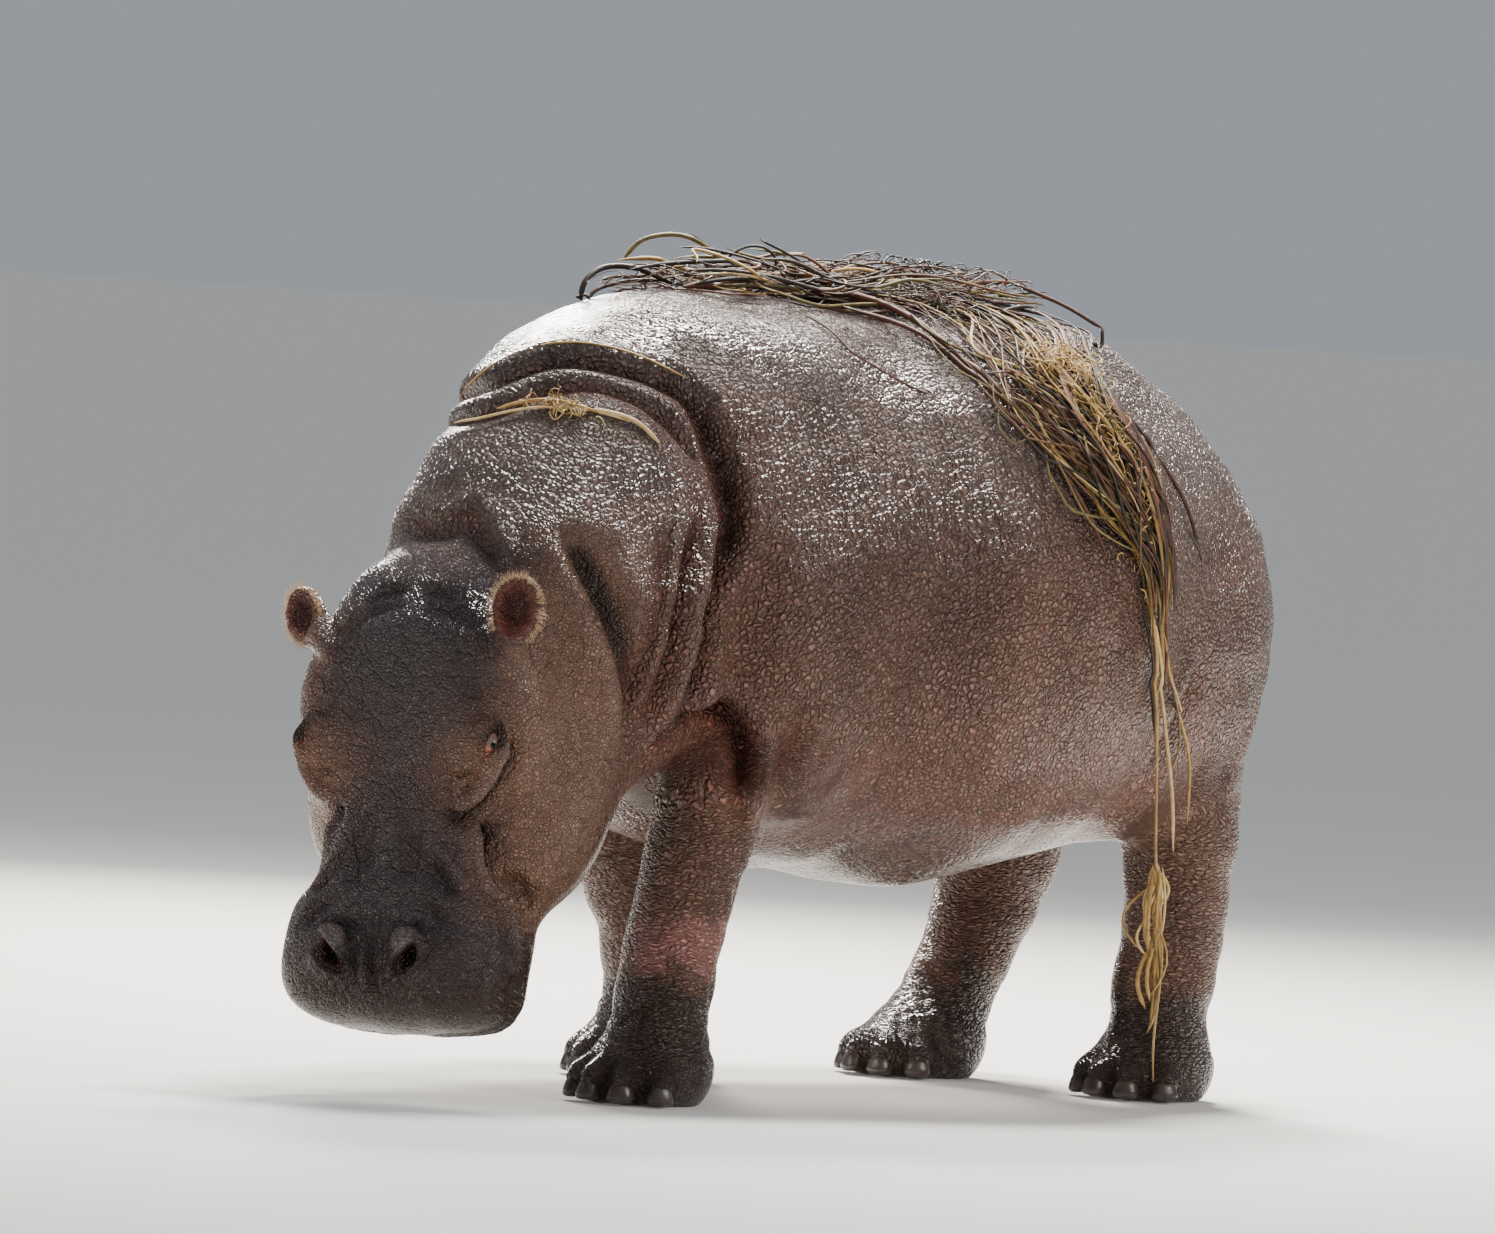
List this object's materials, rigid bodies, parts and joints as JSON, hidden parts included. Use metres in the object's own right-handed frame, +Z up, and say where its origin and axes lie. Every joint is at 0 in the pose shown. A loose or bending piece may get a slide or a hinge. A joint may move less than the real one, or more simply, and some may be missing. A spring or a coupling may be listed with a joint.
{
  "type": "hippopotamus",
  "caption": "Life-size still model of a hippopotamus walking with its head lowered and turned to its left, with strands of reed over its back.",
  "frame": {"origin": "on the floor under the middle of the model's length and breadth", "axes": "the animal faces -Y, +X is its left side, +Z is up; the soles stand on z = 0"},
  "size_m": [1.1712, 2.4093, 1.4837],
  "materials": {
    "hide": "bare folded grey-brown hide, finely wrinkled, pink in its folds, dry sheen on the back",
    "wet_hide": "dark wet hide of the lower legs and feet",
    "nail": "dark horn toenail, wet and worn smooth",
    "eye": "wet brown eye",
    "reed": "dry straw and rust-brown reed stems"
  },
  "bodies": {
    "root": {"fore_left_foot": "wet_hide", "fore_left_shin": "wet_hide", "fore_left_upper": "hide", "fore_right_foot": "wet_hide", "fore_right_shin": "wet_hide", "fore_right_upper": "hide", "hind_left_foot": "wet_hide", "hind_left_shin": "wet_hide", "hind_left_upper": "hide", "hind_right_foot": "wet_hide", "hind_right_shin": "wet_hide", "hind_right_upper": "hide", "lower_jaw": "hide", "head": "hide", "tail": "hide", "neck": "hide", "chest": "hide", "rump": "hide", "barrel": "hide", "ear_left": "hide", "ear_right": "hide", "eye_left": "eye", "eye_right": "eye", "fore_left_nail_1": "nail", "fore_left_nail_2": "nail", "fore_left_nail_3": "nail", "fore_left_nail_4": "nail", "fore_right_nail_1": "nail", "fore_right_nail_2": "nail", "fore_right_nail_3": "nail", "fore_right_nail_4": "nail", "hind_left_nail_1": "nail", "hind_left_nail_2": "nail", "hind_left_nail_3": "nail", "hind_left_nail_4": "nail", "hind_right_nail_1": "nail", "hind_right_nail_2": "nail", "hind_right_nail_3": "nail", "hind_right_nail_4": "nail", "reeds_back": "reed", "reeds_flank": "reed", "reeds_hanging": "reed"}
  },
  "joints": []
}
